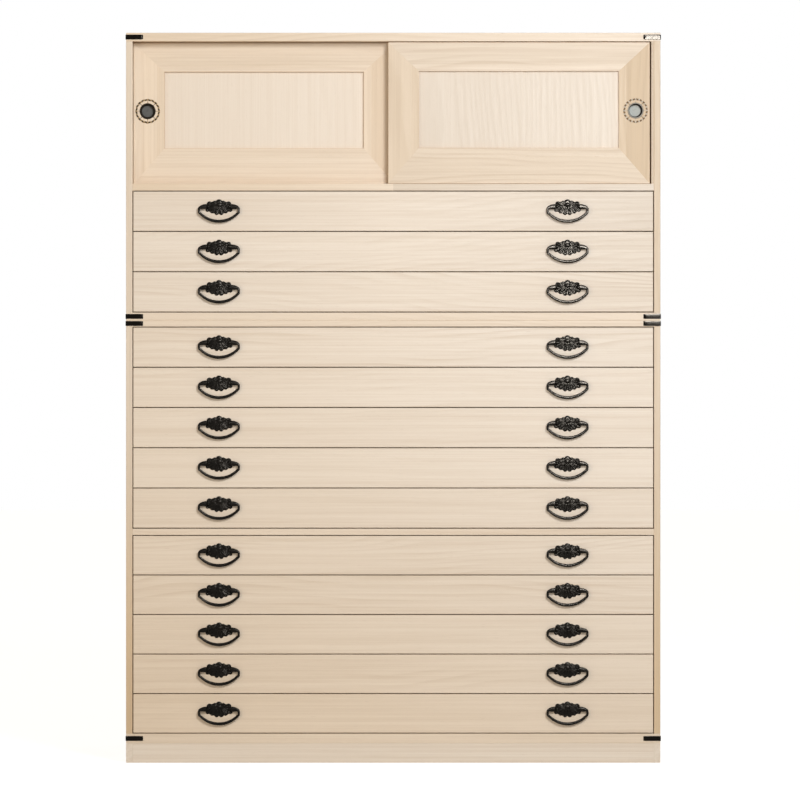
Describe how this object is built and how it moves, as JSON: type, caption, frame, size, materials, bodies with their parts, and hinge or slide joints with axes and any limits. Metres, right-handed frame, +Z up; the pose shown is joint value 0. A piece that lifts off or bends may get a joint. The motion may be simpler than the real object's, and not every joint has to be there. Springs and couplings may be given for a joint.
{
  "type": "isho clothing chest",
  "caption": "Paulownia tansu in two stacked units: sliding framed doors over shallow full-width drawers with drop bail handles.",
  "frame": {"origin": "on the floor under the middle of the chest, counted with its handles", "axes": "+Z up, -Y towards the front, where the doors and drawers open, +X to the right seen from the front"},
  "size_m": [1.0032, 0.4596, 1.366],
  "materials": {
    "paulownia": "matte",
    "black_iron": "satin",
    "black_steel": "satin",
    "dark_metal": "satin"
  },
  "bodies": {
    "case": {"upper_case": "paulownia", "lower_case": "paulownia", "drawer_runners": "paulownia", "corner_fittings": "black_steel"},
    "right_door": {"right_door": "paulownia", "right_door_pull": "dark_metal"},
    "left_door": {"left_door": "paulownia", "left_door_pull": "dark_metal"},
    "drawer_01": {"drawer_01_box": "paulownia", "drawer_01_plates": "black_iron"},
    "drawer_01_left_bail": {"drawer_01_left_bail": "black_iron"},
    "drawer_01_right_bail": {"drawer_01_right_bail": "black_iron"},
    "drawer_02": {"drawer_02_box": "paulownia", "drawer_02_plates": "black_iron"},
    "drawer_02_left_bail": {"drawer_02_left_bail": "black_iron"},
    "drawer_02_right_bail": {"drawer_02_right_bail": "black_iron"},
    "drawer_03": {"drawer_03_box": "paulownia", "drawer_03_plates": "black_iron"},
    "drawer_03_left_bail": {"drawer_03_left_bail": "black_iron"},
    "drawer_03_right_bail": {"drawer_03_right_bail": "black_iron"},
    "drawer_04": {"drawer_04_box": "paulownia", "drawer_04_plates": "black_iron"},
    "drawer_04_left_bail": {"drawer_04_left_bail": "black_iron"},
    "drawer_04_right_bail": {"drawer_04_right_bail": "black_iron"},
    "drawer_05": {"drawer_05_box": "paulownia", "drawer_05_plates": "black_iron"},
    "drawer_05_left_bail": {"drawer_05_left_bail": "black_iron"},
    "drawer_05_right_bail": {"drawer_05_right_bail": "black_iron"},
    "drawer_06": {"drawer_06_box": "paulownia", "drawer_06_plates": "black_iron"},
    "drawer_06_left_bail": {"drawer_06_left_bail": "black_iron"},
    "drawer_06_right_bail": {"drawer_06_right_bail": "black_iron"},
    "drawer_07": {"drawer_07_box": "paulownia", "drawer_07_plates": "black_iron"},
    "drawer_07_left_bail": {"drawer_07_left_bail": "black_iron"},
    "drawer_07_right_bail": {"drawer_07_right_bail": "black_iron"},
    "drawer_08": {"drawer_08_box": "paulownia", "drawer_08_plates": "black_iron"},
    "drawer_08_left_bail": {"drawer_08_left_bail": "black_iron"},
    "drawer_08_right_bail": {"drawer_08_right_bail": "black_iron"},
    "drawer_09": {"drawer_09_box": "paulownia", "drawer_09_plates": "black_iron"},
    "drawer_09_left_bail": {"drawer_09_left_bail": "black_iron"},
    "drawer_09_right_bail": {"drawer_09_right_bail": "black_iron"},
    "drawer_10": {"drawer_10_box": "paulownia", "drawer_10_plates": "black_iron"},
    "drawer_10_left_bail": {"drawer_10_left_bail": "black_iron"},
    "drawer_10_right_bail": {"drawer_10_right_bail": "black_iron"},
    "drawer_11": {"drawer_11_box": "paulownia", "drawer_11_plates": "black_iron"},
    "drawer_11_left_bail": {"drawer_11_left_bail": "black_iron"},
    "drawer_11_right_bail": {"drawer_11_right_bail": "black_iron"},
    "drawer_12": {"drawer_12_box": "paulownia", "drawer_12_plates": "black_iron"},
    "drawer_12_left_bail": {"drawer_12_left_bail": "black_iron"},
    "drawer_12_right_bail": {"drawer_12_right_bail": "black_iron"},
    "drawer_13": {"drawer_13_box": "paulownia", "drawer_13_plates": "black_iron"},
    "drawer_13_left_bail": {"drawer_13_left_bail": "black_iron"},
    "drawer_13_right_bail": {"drawer_13_right_bail": "black_iron"}
  },
  "joints": [
    {"name": "right_door_slide", "type": "slide", "parent": "case", "child": "right_door", "axis": [-1, 0, 0], "range_m": [-0.0019, 0.4777]},
    {"name": "left_door_slide", "type": "slide", "parent": "case", "child": "left_door", "axis": [1, 0, 0], "range_m": [0, 0.485]},
    {"name": "drawer_01_slide", "type": "slide", "parent": "case", "child": "drawer_01", "axis": [0, -1, 0], "range_m": [0, 0.36]},
    {"name": "drawer_02_slide", "type": "slide", "parent": "case", "child": "drawer_02", "axis": [0, -1, 0], "range_m": [0, 0.36]},
    {"name": "drawer_03_slide", "type": "slide", "parent": "case", "child": "drawer_03", "axis": [0, -1, 0], "range_m": [0, 0.36]},
    {"name": "drawer_04_slide", "type": "slide", "parent": "case", "child": "drawer_04", "axis": [0, -1, 0], "range_m": [0, 0.36]},
    {"name": "drawer_05_slide", "type": "slide", "parent": "case", "child": "drawer_05", "axis": [0, -1, 0], "range_m": [0, 0.36]},
    {"name": "drawer_06_slide", "type": "slide", "parent": "case", "child": "drawer_06", "axis": [0, -1, 0], "range_m": [0, 0.36]},
    {"name": "drawer_07_slide", "type": "slide", "parent": "case", "child": "drawer_07", "axis": [0, -1, 0], "range_m": [0, 0.36]},
    {"name": "drawer_08_slide", "type": "slide", "parent": "case", "child": "drawer_08", "axis": [0, -1, 0], "range_m": [0, 0.36]},
    {"name": "drawer_09_slide", "type": "slide", "parent": "case", "child": "drawer_09", "axis": [0, -1, 0], "range_m": [0, 0.36]},
    {"name": "drawer_10_slide", "type": "slide", "parent": "case", "child": "drawer_10", "axis": [0, -1, 0], "range_m": [0, 0.36]},
    {"name": "drawer_11_slide", "type": "slide", "parent": "case", "child": "drawer_11", "axis": [0, -1, 0], "range_m": [0, 0.36]},
    {"name": "drawer_12_slide", "type": "slide", "parent": "case", "child": "drawer_12", "axis": [0, -1, 0], "range_m": [0, 0.36]},
    {"name": "drawer_13_slide", "type": "slide", "parent": "case", "child": "drawer_13", "axis": [0, -1, 0], "range_m": [0, 0.36]},
    {"name": "drawer_01_left_bail_swing", "type": "hinge", "parent": "drawer_01", "child": "drawer_01_left_bail", "pos_m": [-0.326, -0.2267, 1.0406], "axis": [-1, 0, 0], "range_deg": [-8, 90]},
    {"name": "drawer_01_right_bail_swing", "type": "hinge", "parent": "drawer_01", "child": "drawer_01_right_bail", "pos_m": [0.326, -0.2267, 1.0406], "axis": [-1, 0, 0], "range_deg": [-8, 90]},
    {"name": "drawer_02_left_bail_swing", "type": "hinge", "parent": "drawer_02", "child": "drawer_02_left_bail", "pos_m": [-0.326, -0.2267, 0.9651], "axis": [-1, 0, 0], "range_deg": [-8, 90]},
    {"name": "drawer_02_right_bail_swing", "type": "hinge", "parent": "drawer_02", "child": "drawer_02_right_bail", "pos_m": [0.326, -0.2267, 0.9651], "axis": [-1, 0, 0], "range_deg": [-8, 90]},
    {"name": "drawer_03_left_bail_swing", "type": "hinge", "parent": "drawer_03", "child": "drawer_03_left_bail", "pos_m": [-0.326, -0.2267, 0.8896], "axis": [-1, 0, 0], "range_deg": [-8, 90]},
    {"name": "drawer_03_right_bail_swing", "type": "hinge", "parent": "drawer_03", "child": "drawer_03_right_bail", "pos_m": [0.326, -0.2267, 0.8896], "axis": [-1, 0, 0], "range_deg": [-8, 90]},
    {"name": "drawer_04_left_bail_swing", "type": "hinge", "parent": "drawer_04", "child": "drawer_04_left_bail", "pos_m": [-0.326, -0.2267, 0.7862], "axis": [-1, 0, 0], "range_deg": [-8, 90]},
    {"name": "drawer_04_right_bail_swing", "type": "hinge", "parent": "drawer_04", "child": "drawer_04_right_bail", "pos_m": [0.326, -0.2267, 0.7862], "axis": [-1, 0, 0], "range_deg": [-8, 90]},
    {"name": "drawer_05_left_bail_swing", "type": "hinge", "parent": "drawer_05", "child": "drawer_05_left_bail", "pos_m": [-0.326, -0.2267, 0.7109], "axis": [-1, 0, 0], "range_deg": [-8, 90]},
    {"name": "drawer_05_right_bail_swing", "type": "hinge", "parent": "drawer_05", "child": "drawer_05_right_bail", "pos_m": [0.326, -0.2267, 0.7109], "axis": [-1, 0, 0], "range_deg": [-8, 90]},
    {"name": "drawer_06_left_bail_swing", "type": "hinge", "parent": "drawer_06", "child": "drawer_06_left_bail", "pos_m": [-0.326, -0.2267, 0.6356], "axis": [-1, 0, 0], "range_deg": [-8, 90]},
    {"name": "drawer_06_right_bail_swing", "type": "hinge", "parent": "drawer_06", "child": "drawer_06_right_bail", "pos_m": [0.326, -0.2267, 0.6356], "axis": [-1, 0, 0], "range_deg": [-8, 90]},
    {"name": "drawer_07_left_bail_swing", "type": "hinge", "parent": "drawer_07", "child": "drawer_07_left_bail", "pos_m": [-0.326, -0.2267, 0.5603], "axis": [-1, 0, 0], "range_deg": [-8, 90]},
    {"name": "drawer_07_right_bail_swing", "type": "hinge", "parent": "drawer_07", "child": "drawer_07_right_bail", "pos_m": [0.326, -0.2267, 0.5603], "axis": [-1, 0, 0], "range_deg": [-8, 90]},
    {"name": "drawer_08_left_bail_swing", "type": "hinge", "parent": "drawer_08", "child": "drawer_08_left_bail", "pos_m": [-0.326, -0.2267, 0.485], "axis": [-1, 0, 0], "range_deg": [-8, 90]},
    {"name": "drawer_08_right_bail_swing", "type": "hinge", "parent": "drawer_08", "child": "drawer_08_right_bail", "pos_m": [0.326, -0.2267, 0.485], "axis": [-1, 0, 0], "range_deg": [-8, 90]},
    {"name": "drawer_09_left_bail_swing", "type": "hinge", "parent": "drawer_09", "child": "drawer_09_left_bail", "pos_m": [-0.326, -0.2267, 0.39685], "axis": [-1, 0, 0], "range_deg": [-8, 90]},
    {"name": "drawer_09_right_bail_swing", "type": "hinge", "parent": "drawer_09", "child": "drawer_09_right_bail", "pos_m": [0.326, -0.2267, 0.39685], "axis": [-1, 0, 0], "range_deg": [-8, 90]},
    {"name": "drawer_10_left_bail_swing", "type": "hinge", "parent": "drawer_10", "child": "drawer_10_left_bail", "pos_m": [-0.326, -0.2267, 0.32285], "axis": [-1, 0, 0], "range_deg": [-8, 90]},
    {"name": "drawer_10_right_bail_swing", "type": "hinge", "parent": "drawer_10", "child": "drawer_10_right_bail", "pos_m": [0.326, -0.2267, 0.32285], "axis": [-1, 0, 0], "range_deg": [-8, 90]},
    {"name": "drawer_11_left_bail_swing", "type": "hinge", "parent": "drawer_11", "child": "drawer_11_left_bail", "pos_m": [-0.326, -0.2267, 0.24885], "axis": [-1, 0, 0], "range_deg": [-8, 90]},
    {"name": "drawer_11_right_bail_swing", "type": "hinge", "parent": "drawer_11", "child": "drawer_11_right_bail", "pos_m": [0.326, -0.2267, 0.24885], "axis": [-1, 0, 0], "range_deg": [-8, 90]},
    {"name": "drawer_12_left_bail_swing", "type": "hinge", "parent": "drawer_12", "child": "drawer_12_left_bail", "pos_m": [-0.326, -0.2267, 0.17485], "axis": [-1, 0, 0], "range_deg": [-8, 90]},
    {"name": "drawer_12_right_bail_swing", "type": "hinge", "parent": "drawer_12", "child": "drawer_12_right_bail", "pos_m": [0.326, -0.2267, 0.17485], "axis": [-1, 0, 0], "range_deg": [-8, 90]},
    {"name": "drawer_13_left_bail_swing", "type": "hinge", "parent": "drawer_13", "child": "drawer_13_left_bail", "pos_m": [-0.326, -0.2267, 0.10085], "axis": [-1, 0, 0], "range_deg": [-8, 90]},
    {"name": "drawer_13_right_bail_swing", "type": "hinge", "parent": "drawer_13", "child": "drawer_13_right_bail", "pos_m": [0.326, -0.2267, 0.10085], "axis": [-1, 0, 0], "range_deg": [-8, 90]}
  ]
}
